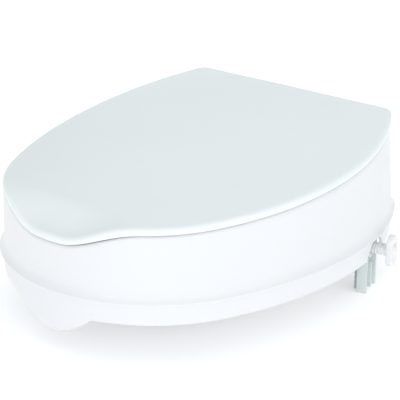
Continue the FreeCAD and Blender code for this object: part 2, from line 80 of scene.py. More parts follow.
def colour(name, description, default):
    return FloatVectorProperty(name=name, description=description, default=default, size=3,
                               min=0.0, max=1.0, subtype="COLOR")


# --- Sizes and colours that a user may change ---

class RaisedSeatBody(bpy.types.PropertyGroup):
    band_inset: length("Band inset", "How far the band stands inside the lip", 4.0 * MM)
    wall: length("Wall", "Thickness of the seat moulding", 3.0 * MM)
    lip_thickness: length("Lip thickness", "Straight edge of the lip", 2.2 * MM)
    flare_height: length("Flare height", "Height over which the wall sweeps out into the lip", 11.0 * MM)
    flare_inset: length("Flare inset", "How far the wall stands inside the lip", 4.5 * MM)
    rim_radius: length("Rim radius", "Rounding of the seat's outer rim", 4.5 * MM)
    aperture_radius: length("Aperture radius", "Rounding of the aperture's edge", 7.0 * MM)
    recess_depth: length("Recess depth", "Depth of the front recess", 18.5 * MM)
    recess_half_width: length("Recess half width", "Half width of the front recess", 91.5 * MM)
    dish: length("Dish", "Fall of the seat surface towards the aperture", 5.0 * MM)
    plastic: colour("Body colour", "Colour of the white mouldings", (0.775, 0.78, 0.80))


class RaisedSeatLid(bpy.types.PropertyGroup):
    gap: length("Gap", "Gap between lid and seat rim", 0.6 * MM)
    edge_height: length("Edge height", "Height of the lid's edge", 7.0 * MM)
    edge_radius: length("Edge radius", "Rounding of the lid's edge", 5.0 * MM)
    wall: length("Wall", "Thickness of the lid", 2.8 * MM)
    crown: length("Crown", "Rise of the lid's middle", 7.0 * MM)
    plastic: colour("Lid colour", "Colour of the lid", (0.815, 0.85, 0.86))


class RaisedSeatClamp(bpy.types.PropertyGroup):
    pitch: length("Pitch", "Pitch of the coarse clamp thread", 3.0 * MM)
    thread_depth: length("Thread depth", "Depth of the clamp thread", 0.9 * MM)
    edge: length("Edge", "Rounding of the moulded edges", 0.5 * MM)
    bracket_colour: colour("Bracket colour", "Colour of the clamp legs", (0.68, 0.74, 0.73))
    knob_colour: colour("Knob colour", "Colour of the knobs", (0.80, 0.81, 0.82))
    rubber_colour: colour("Rubber colour", "Colour of pads and buffers", (0.36, 0.38, 0.38))


class RaisedSeatStudio(bpy.types.PropertyGroup):
    azimuth: FloatProperty(name="Azimuth", description="Camera's turn round the seat",
                           default=math.radians(39.49), subtype="ANGLE")
    elevation: FloatProperty(name="Elevation", description="Camera's height angle",
                             default=math.radians(20.57), subtype="ANGLE")
    distance: length("Distance", "Camera's distance from its target", 1.400)
    lens: FloatProperty(name="Lens", description="Focal length in millimetres", default=118.06)
    floor_drop: length("Floor drop", "Gap between the lowest point and the floor", 0.5 * MM)


# --- Shape of the body, shared by the mouldings ---

WIDEST_Y = 45.0 * MM
FRONT_SIDE_RADIUS = 361.0 * MM
REAR_SIDE_RADIUS = 282.0 * MM
REAR_CORNER_RADIUS = 22.0 * MM
LEDGE_Z = 2.5 * MM
LEDGE = 3.0 * MM
LIP_Z = LEDGE_Z + 0.3 * MM
RIM_HEIGHTS = (68.5 * MM, 76.0 * MM, 105.0 * MM)
TOP_INSETS = (9.0 * MM, 4.8 * MM, 11.6 * MM)
LID_INSETS = (8.4 * MM, 4.2 * MM, 11.0 * MM)
LID_CORNER_RADIUS = 14.0 * MM
RECESS_FLAT = 15.0 * MM
RECESS_FADE = (-145.0 * MM, -55.0 * MM)
DROOP_FADE = (-196.0 * MM, -152.0 * MM)
SPLASH_DEPTH = 14.0 * MM
WALL_TOP_Z = 145.0 * MM
BAND_HEIGHT = 21.0 * MM
BAND_WALL = 3.4 * MM
FLANGE_WIDTH = 4.0 * MM
FLANGE_HEIGHT = 1.5 * MM
TONGUE_HALF_WIDTH = 50.0 * MM
TONGUE_SHOULDER_RADIUS = 6.0 * MM
NOTCH_HALF_WIDTH = 24.0 * MM
NOTCH_HEIGHT = 17.5 * MM
CLAMP_ANGLE = math.radians(13.2)
APERTURE = dict(half=106.0 * MM, front=-132.0 * MM, rear=132.0 * MM, widest=20.0 * MM,
                front_radius=200.0 * MM, rear_radius=220.0 * MM, corner=70.0 * MM)
COARSE = (96, 72, 72, 20, 40)
FINE = (160, 72, 220, 20, 40)


def sizes():
    return bpy.context.scene.raised_seat_body


def half_width():
    return RING_HIGH[0] + sizes().band_inset


def front_y():
    return RING_LOW[1] - sizes().band_inset


def rear_y():
    return RING_HIGH[1] + sizes().band_inset


def smooth(value, low, high):
    u = np.clip((value - low) / (high - low), 0.0, 1.0)
    return u * u * (3 - 2 * u)


def arc(x, y, radius, start, end, count):
    angle = start + (end - start) * np.arange(count) / count
    return np.stack([x + radius * np.cos(angle), y + radius * np.sin(angle)], 1)


def outline(half, front, rear, widest, front_radius, rear_radius, corner, counts=COARSE):
    """Closed run of points along tangent arcs: nose, side curves, rear corners, straight rear edge."""
    side_x = half - front_radius
    reach = widest - front
    nose = (side_x ** 2 + reach ** 2 - front_radius ** 2) / (2 * (reach - front_radius))
    nose_y = front + nose
    turn = math.atan2(nose_y - widest, -side_x)
    back_x = half - rear_radius
    corner_y = rear - corner
    corner_x = back_x + math.sqrt((rear_radius - corner) ** 2 - (corner_y - widest) ** 2)
    back = math.atan2(corner_y - widest, corner_x - back_x)
    n_nose, n_front, n_rear, n_corner, n_straight = counts
    share = (np.arange(n_straight) / n_straight)[:, None]
    straight = np.array([corner_x, rear]) + share * np.array([-2 * corner_x, 0.0])
    return np.vstack([
        arc(0, nose_y, nose, -math.pi - turn, turn, n_nose),
        arc(side_x, widest, front_radius, turn, 0, n_front),
        arc(back_x, widest, rear_radius, 0, back, n_rear),
        arc(corner_x, corner_y, corner, back, math.pi / 2, n_corner),
        straight,
        arc(-corner_x, corner_y, corner, math.pi / 2, math.pi - back, n_corner),
        arc(-back_x, widest, rear_radius, math.pi - back, math.pi, n_rear),
        arc(-side_x, widest, front_radius, math.pi, math.pi - turn, n_front),
    ])


def body_outline(side, front=None, rear=None, corner=None, counts=COARSE):
    front = side if front is None else front
    rear = side if rear is None else rear
    corner = max(REAR_CORNER_RADIUS - side, 6 * MM) if corner is None else corner
    return outline(half_width() - side, front_y() + front, rear_y() - rear, WIDEST_Y,
                   FRONT_SIDE_RADIUS - side, REAR_SIDE_RADIUS - side, corner, counts)


def aperture_outline(grow=0.0, counts=COARSE):
    a = APERTURE
    return outline(a["half"] + grow, a["front"] - grow, a["rear"] + grow, a["widest"],
                   a["front_radius"] + grow, a["rear_radius"] + grow, a["corner"] + grow, counts)


def wall_line(height, inset=0.0):
    """The wall's outline where it reaches the given height, moved in by an inset."""
    body = sizes()
    foot_z = LIP_Z + body.lip_thickness + body.flare_height
    insets = [body.flare_inset + (full - body.flare_inset) * (WALL_TOP_Z - foot_z) / (LIP_Z + z - foot_z)
              for full, z in zip(TOP_INSETS, (RIM_HEIGHTS[1], RIM_HEIGHTS[0], RIM_HEIGHTS[2]))]
    foot = body_outline(body.flare_inset + inset)
    top = body_outline(*(full + inset for full in insets))
    line = foot
    for _ in range(4):
        share = (height(line) - foot_z) / (WALL_TOP_Z - foot_z)
        line = between(foot, top, share[:, None])
    return line


def wall_top(inset=0.0):
    return wall_line(seat_rim, inset)


def lid_outline(inset=0.0):
    side, front, rear = LID_INSETS
    return body_outline(side + inset, front + inset, rear + inset, LID_CORNER_RADIUS - inset)


def rim_height(y):
    front, middle, rear = RIM_HEIGHTS
    half_depth = (rear_y() - front_y()) / 2
    share = y / half_depth
    return LIP_Z + middle + (rear - front) / 2 * share + ((rear + front) / 2 - middle) * share ** 2


def recess(x, y, fade):
    across = 1 - smooth(np.abs(x), RECESS_FLAT, sizes().recess_half_width)
    return sizes().recess_depth * across * (1 - smooth(y, *fade))


def seat_rim(p):
    return rim_height(p[:, 1]) - recess(p[:, 0], p[:, 1], RECESS_FADE)


def seat_top(p):
    near = np.hypot(p[:, 0] / APERTURE["half"], (p[:, 1] - 5 * MM) / APERTURE["rear"])
    return seat_rim(p) - sizes().dish * (1 - smooth(near, 0.9, 1.5))


def lid_top(p):
    lid = bpy.context.scene.raised_seat_lid
    share = np.minimum((p[:, 0] / half_width()) ** 2 + (p[:, 1] / rear_y()) ** 2, 1.0)
    crown = lid.crown * (1 - share) ** 1.5
    return rim_height(p[:, 1]) + lid.gap + lid.edge_height + crown - recess(p[:, 0], p[:, 1], DROOP_FADE)


def raised(p, z):
    return np.column_stack([p, np.broadcast_to(z, len(p))])


def between(a, b, share):
    return a + (b - a) * share


def quarter(steps):
    return [math.pi / 2 * k / steps for k in range(steps + 1)]


# --- Mesh helpers ---

def piece_from(name, vertices, faces, material, sharp=35.0):
    mesh = bpy.data.meshes.new(name)
    mesh.from_pydata([tuple(v) for v in vertices], [], faces)
    work = bmesh.new()
    work.from_mesh(mesh)
    bmesh.ops.remove_doubles(work, verts=work.verts, dist=1e-6)
    bmesh.ops.recalc_face_normals(work, faces=work.faces)
    work.to_mesh(mesh)
    work.free()
    mesh.shade_smooth()
    mesh.set_sharp_from_angle(angle=math.radians(sharp))
    mesh.materials.append(material)
    obj = bpy.data.objects.new(name, mesh)
    bpy.context.scene.collection.objects.link(obj)
    return obj


def skin(rows, wrap=False, start_pole=None, end_pole=None):
    """Faces and vertices of a surface through closed rows of equal length."""
    n = len(rows[0])
    vertices = np.vstack(rows)
    faces = []
    count = len(rows)
    for r in range(count if wrap else count - 1):
        a, b = r * n, ((r + 1) % count) * n
        for k in range(n):
            j = (k + 1) % n
            faces.append((a + k, a + j, b + j, b + k))
    for pole, first in ((start_pole, 0), (end_pole, (count - 1) * n)):
        if pole is not None:
            vertices = np.vstack([vertices, pole])
            tip = len(vertices) - 1
            for k in range(n):
                faces.append((first + (k + 1) % n, first + k, tip))
    return vertices, faces


def closed_skin(rows):
    """Skin whose ends close at the middles of the first and last rows."""
    return skin(rows, start_pole=rows[0].mean(0), end_pole=rows[-1].mean(0))


def joined(parts):
    vertices, faces = [], []
    for points, polygons in parts:
        shift = len(vertices)
        vertices.extend(points)
        faces.extend(tuple(i + shift for i in f) for f in polygons)
    return vertices, faces


def baked(obj):
    """Leaves the object with a plain mesh that has its modifiers' result."""
    graph = bpy.context.evaluated_depsgraph_get()
    mesh = bpy.data.meshes.new_from_object(obj.evaluated_get(graph))
    obj.modifiers.clear()
    obj.data = mesh
    return obj


def round_edges(obj, width, segments=2, angle=35.0):
    bevel = obj.modifiers.new("edges", "BEVEL")
    bevel.width = width
    bevel.segments = segments
    bevel.limit_method = "ANGLE"
    bevel.angle_limit = math.radians(angle)
    return baked(obj)


def finished_node(node, material, width, segments=2):
    """Copy of a frame piece with merged faces and rounded edges."""
    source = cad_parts[node]
    work = bmesh.new()
    work.from_mesh(source.data)
    bmesh.ops.remove_doubles(work, verts=work.verts, dist=1e-6)
    bmesh.ops.dissolve_limit(work, angle_limit=math.radians(1.0), verts=work.verts, edges=work.edges)
    mesh = bpy.data.meshes.new(node + "_finished")
    work.to_mesh(mesh)
    work.free()
    obj = bpy.data.objects.new(node + "_finished", mesh)
    bpy.context.scene.collection.objects.link(obj)
    mesh.materials.clear()
    mesh.materials.append(material)
    round_edges(obj, width, segments)
    obj.data.shade_smooth()
    obj.data.set_sharp_from_angle(angle=math.radians(40))
    return obj


def prism_faces(n):
    """Two ends and the sides of a prism between two n-point outlines."""
    ends = [tuple(range(n)), tuple(range(2 * n - 1, n - 1, -1))]
    return ends + [(k, k + n, (k + 1) % n + n, (k + 1) % n) for k in range(n)]


def extruded(profile, low, high):
    """Prism of a (y, z) outline from x = low to x = high."""
    return [(x, y, z) for x in (low, high) for y, z in profile], prism_faces(len(profile))


BOX_FACES = [(0, 1, 3, 2), (4, 6, 7, 5), (0, 4, 5, 1), (2, 3, 7, 6), (0, 2, 6, 4), (1, 5, 7, 3)]


def box_corners(low, high):
    """Corners of a box, given in millimetres."""
    (a, b, c), (d, e, f) = low, high
    return np.array([(x, y, z) for x in (a, d) for y in (b, e) for z in (c, f)]) * MM


# --- Finishes ---

class Nodes:
    """Short way to add and link shader nodes in one tree."""

    def __init__(self, name):
        self.material = bpy.data.materials.new(name)
        self.material.use_nodes = True
        self.tree = self.material.node_tree
        self.shader = self.tree.nodes["Principled BSDF"]
        self.place = self.add("ShaderNodeTexCoord")

    def add(self, kind, **values):
        node = self.tree.nodes.new(kind)
        for key, value in values.items():
            setattr(node, key, value)
        return node

    def link(self, a, b):
        self.tree.links.new(a, b)

    def noise(self, scale, detail=3.0, roughness=0.5, stretch=None):
        node = self.add("ShaderNodeTexNoise")
        node.inputs["Scale"].default_value = scale
        node.inputs["Detail"].default_value = detail
        node.inputs["Roughness"].default_value = roughness
        source = self.place.outputs["Object"]
        if stretch:
            mapping = self.add("ShaderNodeMapping")
            mapping.inputs["Scale"].default_value = stretch
            self.link(source, mapping.inputs["Vector"])
            source = mapping.outputs["Vector"]
        self.link(source, node.inputs["Vector"])
        return node.outputs["Fac"]

    def spread(self, source, low, high, start=0.3, stop=0.7):
        node = self.add("ShaderNodeMapRange")
        for key, value in (("From Min", start), ("From Max", stop), ("To Min", low), ("To Max", high)):
            node.inputs[key].default_value = value
        self.link(source, node.inputs["Value"])
        return node.outputs["Result"]

    def tint(self, source, first, second):
        node = self.add("ShaderNodeMix", data_type="RGBA")
        node.inputs["A"].default_value = (*first, 1)
        node.inputs["B"].default_value = (*second, 1)
        self.link(source, node.inputs["Factor"])
        self.link(node.outputs["Result"], self.shader.inputs["Base Color"])

    def bumps(self, *layers):
        normal = None
        for source, strength, distance in layers:
            node = self.add("ShaderNodeBump")
            node.inputs["Strength"].default_value = strength
            node.inputs["Distance"].default_value = distance
            self.link(source, node.inputs["Height"])
            if normal:
                self.link(normal, node.inputs["Normal"])
            normal = node.outputs["Normal"]
        self.link(normal, self.shader.inputs["Normal"])


def shaded(rgb, share):
    return tuple(c * share for c in rgb)


def moulded_white(name, rgb, low_gloss, high_gloss):
    """Injection-moulded white plastic: faint flow marks, orange peel and a soft coat of gloss."""
    n = Nodes(name)
    cloud = n.noise(9.0, 4.0, 0.55)
    peel = n.noise(420.0, 2.0, 0.4)
    flow = n.noise(14.0, 3.0, 0.6, (1.0, 0.35, 2.2))
    n.tint(n.spread(cloud, 0.0, 1.0), rgb, shaded(rgb, 0.985))
    n.link(n.spread(flow, low_gloss, high_gloss), n.shader.inputs["Roughness"])
    n.bumps((peel, 0.08, 0.0001))
    n.shader.inputs["IOR"].default_value = 1.49
    n.shader.inputs["Subsurface Weight"].default_value = 0.06
    n.shader.inputs["Subsurface Radius"].default_value = (0.004, 0.004, 0.0038)
    n.shader.inputs["Subsurface Scale"].default_value = 1.0
    return n.material


def grained_plastic(name, rgb):
    """Spark-eroded technical plastic of the clamp legs and bearings."""
    n = Nodes(name)
    cloud = n.noise(30.0, 4.0, 0.6)
    grain = n.noise(1500.0, 2.0, 0.5)
    n.tint(n.spread(cloud, 0.0, 1.0), rgb, shaded(rgb, 0.93))
    n.link(n.spread(grain, 0.42, 0.58), n.shader.inputs["Roughness"])
    n.bumps((grain, 0.35, 0.00015))
    n.shader.inputs["IOR"].default_value = 1.47
    return n.material


def soft_rubber(name, rgb):
    n = Nodes(name)
    bloom = n.noise(45.0, 5.0, 0.65)
    pores = n.noise(1100.0, 3.0, 0.6)
    n.tint(n.spread(bloom, 0.0, 1.0), rgb, shaded(rgb, 1.12))
    n.link(n.spread(bloom, 0.72, 0.9), n.shader.inputs["Roughness"])
    n.bumps((pores, 0.4, 0.0002))
    n.shader.inputs["Specular IOR Level"].default_value = 0.3
    return n.material


def plated_steel(name):
    n = Nodes(name)
    cloud = n.noise(160.0, 4.0, 0.6)
    brush = n.noise(300.0, 3.0, 0.6, (1.0, 1.0, 12.0))
    n.tint(n.spread(cloud, 0.0, 1.0), (0.62, 0.62, 0.60), (0.55, 0.56, 0.57))
    n.link(n.spread(brush, 0.24, 0.42), n.shader.inputs["Roughness"])
    n.bumps((brush, 0.15, 0.00005))
    n.shader.inputs["Metallic"].default_value = 1.0
    return n.material


def studio_floor(name):
    n = Nodes(name)
    cloud = n.noise(2.0, 3.0, 0.5)
    n.tint(n.spread(cloud, 0.0, 1.0), (0.95, 0.95, 0.95), (0.94, 0.945, 0.945))
    n.shader.inputs["Roughness"].default_value = 0.9
    n.shader.inputs["Specular IOR Level"].default_value = 0.1
    n.shader.inputs["Emission Color"].default_value = (1.0, 1.0, 1.0, 1)
    n.shader.inputs["Emission Strength"].default_value = 0.28
    return n.material


def finish(name):
    """The named finish, made the first time it is asked for."""
    found = bpy.data.materials.get(name)
    if found:
        return found
    clamp = bpy.context.scene.raised_seat_clamp
    makers = {
        "white_moulding": lambda: moulded_white(name, sizes().plastic, 0.29, 0.37),
        "white_lid": lambda: moulded_white(name, bpy.context.scene.raised_seat_lid.plastic, 0.285, 0.34),
        "white_knob": lambda: moulded_white(name, clamp.knob_colour, 0.30, 0.42),
        "grey_bracket": lambda: grained_plastic(name, clamp.bracket_colour),
        "natural_acetal": lambda: grained_plastic(name, (0.72, 0.72, 0.69)),
        "pad_rubber": lambda: soft_rubber(name, clamp.rubber_colour),
        "zinc_steel": lambda: plated_steel(name),
        "pale_floor": lambda: studio_floor(name),
    }
    return makers[name]()


# --- Seat moulding ---

def lip_and_wall_rows(body):
    """Rows from the lip's underside up the flare and the wall, outside."""
    foot = LIP_Z + body.lip_thickness
    rows = [raised(body_outline(inset * MM), LIP_Z + up * MM)
            for inset, up in ((1.4, 0.0), (0.5, 0.1), (0.12, 0.4), (0.0, 0.9), (0.0, 1.5))]
    for k in range(11):
        share = k / 10
        inset = body.flare_inset * (1 - (1 - share) ** 2)
        rows.append(raised(body_outline(inset), foot + share * body.flare_height))
    start = foot + body.flare_height
    for k in range(1, 15):
        def height(line):
            return start + (seat_rim(line) - body.rim_radius - start) * k / 14
        line = wall_line(height)
        rows.append(raised(line, height(line)))
    return rows


def seat_rows(body):
    """Rows over the rim's rounding, across the seat and round the aperture's edge."""
    rows = []
    for angle in quarter(6)[1:]:
        line = wall_top(body.rim_radius * (1 - math.cos(angle)))
        rows.append(raised(line, seat_top(line) - body.rim_radius * (1 - math.sin(angle))))
    outer = wall_top(body.rim_radius)
    inner = aperture_outline(body.aperture_radius)
    for k in range(1, 30):
        line = between(outer, inner, k / 30)
        rows.append(raised(line, seat_top(line)))
    for angle in reversed(quarter(8)):
        line = aperture_outline(body.aperture_radius * (1 - math.cos(angle)))
        rows.append(raised(line, seat_top(line) - body.aperture_radius * (1 - math.sin(angle))))
    return rows


def splash_rows(body):
    """Rows down the aperture wall, round its foot and up its hidden side."""
    line = aperture_outline()
    top = seat_top(line) - body.aperture_radius
    low = body.wall / 2 - SPLASH_DEPTH
    rows = [raised(line, top + (low - top) * k / 8) for k in range(1, 9)]
    for k in range(1, 6):
        angle = math.pi * k / 6
        rows.append(raised(aperture_outline(body.wall / 2 * (1 - math.cos(angle))),
                           low - body.wall / 2 * math.sin(angle)))
    hidden = aperture_outline(body.wall)
    top = seat_top(hidden) - body.wall - 4 * MM
    rows += [raised(hidden, low + (top - low) * k / 4) for k in range(5)]
    return rows


def hidden_rows(body):
    """Rows under the seat surface and down the inside of the wall to the lip."""
    inner = aperture_outline(body.wall + 4 * MM)
    outer = wall_top(body.wall + 4 * MM)
    rows = []
    for k in range(9):
        line = between(inner, outer, k / 8)
        rows.append(raised(line, seat_top(line) - body.wall))
    low = body_outline(body.flare_inset + body.wall)
    side = wall_top(body.wall)
    foot = LIP_Z + body.lip_thickness + body.flare_height
    top = seat_rim(side) - body.wall - 5 * MM
    for k in range(5):
        rows.append(raised(between(side, low, k / 4), top + (foot - top) * k / 4))
    rows.append(raised(low, LIP_Z))
    return rows


SCREW_COUNT = 8
SCREW_HEAD_RADIUS = 3.8
SCREW_HEAD_HEIGHT = 1.8 * MM
PILOT_DEPTH = 14.0 * MM


def screw_ring():
    """Middle and reach of the ellipse that the base screws are evenly stepped round."""
    reach = (SCREWS_HIGH - SCREWS_LOW) / 2
    middle = (SCREWS_HIGH + SCREWS_LOW) / 2
    head = SCREW_HEAD_RADIUS * MM
    step = math.pi / SCREW_COUNT
    return middle, (reach[0] - head) / math.cos(step), (reach[1] - head) / math.cos(step)


def screw_places():
    middle, reach_x, reach_y = screw_ring()
    for k in range(SCREW_COUNT):
        angle = 2 * math.pi * (k + 0.5) / SCREW_COUNT
        yield np.array([middle[0] + reach_x * math.cos(angle), middle[1] + reach_y * math.sin(angle)])


def boss_parts(body):
    """Hollow posts under the seat surface that take the base screws."""
    parts = []
    bottom = LEDGE_Z + LEDGE
    for centre in screw_places():
        top = float(seat_top(centre[None])[0]) - body.wall / 2
        rows = [raised(arc(*centre, radius * MM, 0, 2 * math.pi, 24), z)
                for radius, z in ((2.0, PILOT_DEPTH + bottom), (2.0, bottom), (5.5, bottom), (5.5, top))]
        parts.append(skin(rows, start_pole=(*centre, PILOT_DEPTH + bottom), end_pole=(*centre, top)))
    return parts


def screw_sinks():
    """Round sinks under the ledge that the base screws' heads lie in."""
    low, high = LEDGE_Z - 1.5 * MM, LEDGE_Z + SCREW_HEAD_HEIGHT + 0.05 * MM
    sinks = []
    for centre in screw_places():
        line = arc(*centre, (SCREW_HEAD_RADIUS + 0.3) * MM, 0, 2 * math.pi, 40)
        sinks.append(skin([raised(line, high), raised(line, low)],
                          start_pole=(*centre, high), end_pole=(*centre, low)))
    return sinks


class RAISEDSEAT_OT_moulding(bpy.types.Operator):
    """Seat moulding: flared lip, drafted wall, dished seat and aperture wall as one closed skin"""
    bl_idname = "raised_seat.moulding"
    bl_label = "Seat moulding"

    def execute(self, context):
        body = sizes()
        rows = lip_and_wall_rows(body) + seat_rows(body) + splash_rows(body) + hidden_rows(body)
        vertices, faces = joined([skin(rows, wrap=True)] + boss_parts(body))
        moulding = piece_from("seat_moulding", vertices, faces, finish("white_moulding"))
        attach(moulding, "base")
        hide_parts("seat_shell")
        return {"FINISHED"}


# --- Base ring ---

def clamp_frame(side):
    """Place, outward direction and sideways direction of a clamp on the lip."""
    out = np.array([math.cos(CLAMP_ANGLE), math.sin(CLAMP_ANGLE)])
    place = np.array([half_width() - REAR_SIDE_RADIUS, WIDEST_Y]) + REAR_SIDE_RADIUS * out
    flip = np.array([side, 1])
    return place * flip, out * flip, np.array([-out[1], out[0]]) * flip


def clamp_points(local, side):
    """World points of clamp coordinates (outwards, sideways, up)."""
    local = np.asarray(local, float)
    place, out, along = clamp_frame(side)
    flat = place + local[:, :1] * out + local[:, 1:2] * along
    return np.column_stack([flat, local[:, 2]])


def band_foot(line):
    """Height of the band's lower edge: tongue at the front, an arched notch at each clamp."""
    low = LEDGE_Z - BAND_HEIGHT
    z = np.full(len(line), low)
    depth = low - RING_LOW[2]
    small = TONGUE_SHOULDER_RADIUS
    both = (TONGUE_HALF_WIDTH ** 2 + depth ** 2) / (2 * depth)
    r = both - small
    half = TONGUE_HALF_WIDTH * r / both
    x = np.abs(line[:, 0])
    tip = RING_LOW[2] + r - np.sqrt(np.maximum(r * r - x * x, 0))
    shoulder = low - small + np.sqrt(np.maximum(small ** 2 - (TONGUE_HALF_WIDTH - x) ** 2, 0))
    front = line[:, 1] < 0
    z = np.where(front & (x < TONGUE_HALF_WIDTH), np.where(x < half, tip, shoulder), z)
    reach = (NOTCH_HALF_WIDTH ** 2 + NOTCH_HEIGHT ** 2) / (2 * NOTCH_HEIGHT)
    for _, side in SIDES:
        place, out, along = clamp_frame(side)
        across = (line - place) @ along
        near = (np.abs(across) < NOTCH_HALF_WIDTH) & (line[:, 0] * side > 0) & (line[:, 1] > 0)
        arch = low + NOTCH_HEIGHT - reach + np.sqrt(np.maximum(reach ** 2 - across ** 2, 0))
        z = np.where(near, np.maximum(arch, low), z)
    return z


def base_ring_rows(body):
    def ring_line(inset):
        return body_outline(inset, counts=FINE)

    inner = body.band_inset + BAND_WALL
    edge = 1.1 * MM
    outer_line = ring_line(body.band_inset)
    foot = band_foot(outer_line)
    rows = [raised(ring_line(body.band_inset + 0.5 * MM), LEDGE_Z), raised(outer_line, LEDGE_Z - 0.5 * MM)]
    for k in range(1, 8):
        rows.append(raised(outer_line, between(LEDGE_Z - 0.5 * MM, foot + edge, k / 7)))
    for angle in quarter(4)[1:]:
        rows.append(raised(ring_line(body.band_inset + edge * (1 - math.cos(angle))),
                           foot + edge * (1 - math.sin(angle))))
    for angle in reversed(quarter(4)):
        rows.append(raised(ring_line(inner - edge * (1 - math.cos(angle))),
                           foot + edge * (1 - math.sin(angle))))
    under = LEDGE_Z - FLANGE_HEIGHT
    for k in range(1, 5):
        rows.append(raised(ring_line(inner), between(foot + edge, under - 0.4 * MM, k / 4)))
    rows.append(raised(ring_line(inner + 0.4 * MM), under))
    rows.append(raised(ring_line(inner + FLANGE_WIDTH - 0.4 * MM), under))
    rows.append(raised(ring_line(inner + FLANGE_WIDTH), under + 0.4 * MM))
    rows.append(raised(ring_line(inner + FLANGE_WIDTH), LEDGE_Z))
    hole = aperture_outline(body.wall + 0.3 * MM, FINE)
    hole_edge = aperture_outline(body.wall + 0.8 * MM, FINE)
    plate = ring_line(inner + FLANGE_WIDTH + 0.5 * MM)
    for share in (0.0, 0.5, 1.0):
        rows.append(raised(between(plate, hole_edge, share), LEDGE_Z))
    rows.append(raised(hole, LEDGE_Z + 0.5 * MM))
    rows.append(raised(hole, LEDGE_Z + LEDGE - 0.5 * MM))
    nest = body.flare_inset + body.wall + 0.3 * MM
    top = ring_line(nest + 0.5 * MM)
    for share in (0.0, 0.5, 1.0):
        rows.append(raised(between(hole_edge, top, share), LEDGE_Z + LEDGE))
    rows.append(raised(ring_line(nest), LEDGE_Z + LEDGE - 0.5 * MM))
    rows.append(raised(ring_line(nest), LEDGE_Z))
    return rows


def box_part(low, high, side):
    """Box between two corners in clamp coordinates, in millimetres."""
    return clamp_points(box_corners(low, high), side), BOX_FACES


def cut_with(obj, parts, name):
    vertices, faces = joined(parts)
    cutter = piece_from(name, vertices, faces, obj.data.materials[0])
    cut = obj.modifiers.new("cut", "BOOLEAN")
    cut.operation = "DIFFERENCE"
    cut.solver = "EXACT"
    cut.object = cutter
    baked(obj)
    bpy.data.objects.remove(cutter)
    return obj


LEG_INNER = -19.0
LEG_OUTER = -8.2
LEG_PLATE = 4.0
TRAVEL = 7.0
SLOT_HALF = 15.4
KNOB_SEAT = 7.5
KNOB_THICKNESS = 8.5
KNOB_LOBE, KNOB_WAIST, KNOB_HALF = 8.5, 7.5, 17.5
SHANK_RADIUS = 6.5
CLAMP_Z = -11.5


class RAISEDSEAT_OT_base_ring(bpy.types.Operator):
    """Base ring: band with tongue and notches, ledge, and the guides of both clamps"""
    bl_idname = "raised_seat.base_ring"
    bl_label = "Base ring"

    def execute(self, context):
        body = sizes()
        vertices, faces = skin(base_ring_rows(body), wrap=True)
        ring = piece_from("base_ring_moulding", vertices, faces, finish("white_moulding"))
        slots = [box_part((LEG_INNER - TRAVEL - 0.4, -SLOT_HALF, -3),
                          (LEG_INNER + LEG_PLATE + 0.4, SLOT_HALF, 8), side) for _, side in SIDES]
        cut_with(ring, slots, "leg_slots")
        cut_with(ring, screw_sinks(), "screw_sinks")
        ring.data.set_sharp_from_angle(angle=math.radians(35))
        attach(ring, "base")
        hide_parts("base_ring")
        for side_name, side in SIDES:
            start, end = LEG_INNER - TRAVEL - 44, LEG_INNER - TRAVEL - 4
            parts = [box_part((start, SLOT_HALF, 5), (end, SLOT_HALF + 2.6, 12.5), side),
                     box_part((start, -SLOT_HALF - 2.6, 5), (end, -SLOT_HALF, 12.5), side),
                     box_part((end - 14, -SLOT_HALF - 2.6, 9.9), (end, SLOT_HALF + 2.6, 12.5), side)]
            vertices, faces = joined(parts)
            guide = piece_from("clamp_guide_" + side_name, vertices, faces, finish("white_moulding"))
            round_edges(guide, 0.4 * MM)
            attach(guide, "base")
            lug = clamp_lug(side_name, side)
            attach(lug, "base")
        return {"FINISHED"}


def clamp_lug(side_name, side):
    """Rounded lug under the ledge with a hexagonal pocket for the nut."""
    half, face, axis_z = 11.0, LEG_OUTER - 0.3, CLAMP_Z
    profile = [(-half, 4.5), (half, 4.5)]
    for k in range(25):
        angle = -math.pi * k / 24
        profile.append((half * math.cos(angle), max(axis_z + half * math.sin(angle), axis_z - 14)))
    outer = [(s, t, z) for s in (face - 6, face) for t, z in profile]
    lug = piece_from("clamp_lug_" + side_name, clamp_points(np.array(outer) * MM, side),
                     prism_faces(len(profile)), finish("white_moulding"))
    hexagon = 9.05 / math.cos(math.pi / 6)
    pocket = [[(s, hexagon * math.sin(math.pi / 3 * k), axis_z + hexagon * math.cos(math.pi / 3 * k))
               for k in range(6)] for s in (face - 4.4, face + 1)]
    bore = [[(s, 6.9 * math.sin(math.pi / 24 * k), axis_z + 6.9 * math.cos(math.pi / 24 * k))
             for k in range(48)] for s in (face - 7, face + 1)]
    for rows in (pocket, bore):
        rows = [clamp_points(np.array(r) * MM, side) for r in rows]
        cut_with(lug, [closed_skin(rows)], "lug_cut")
    return round_edges(lug, 0.3 * MM)


# --- Lid ---

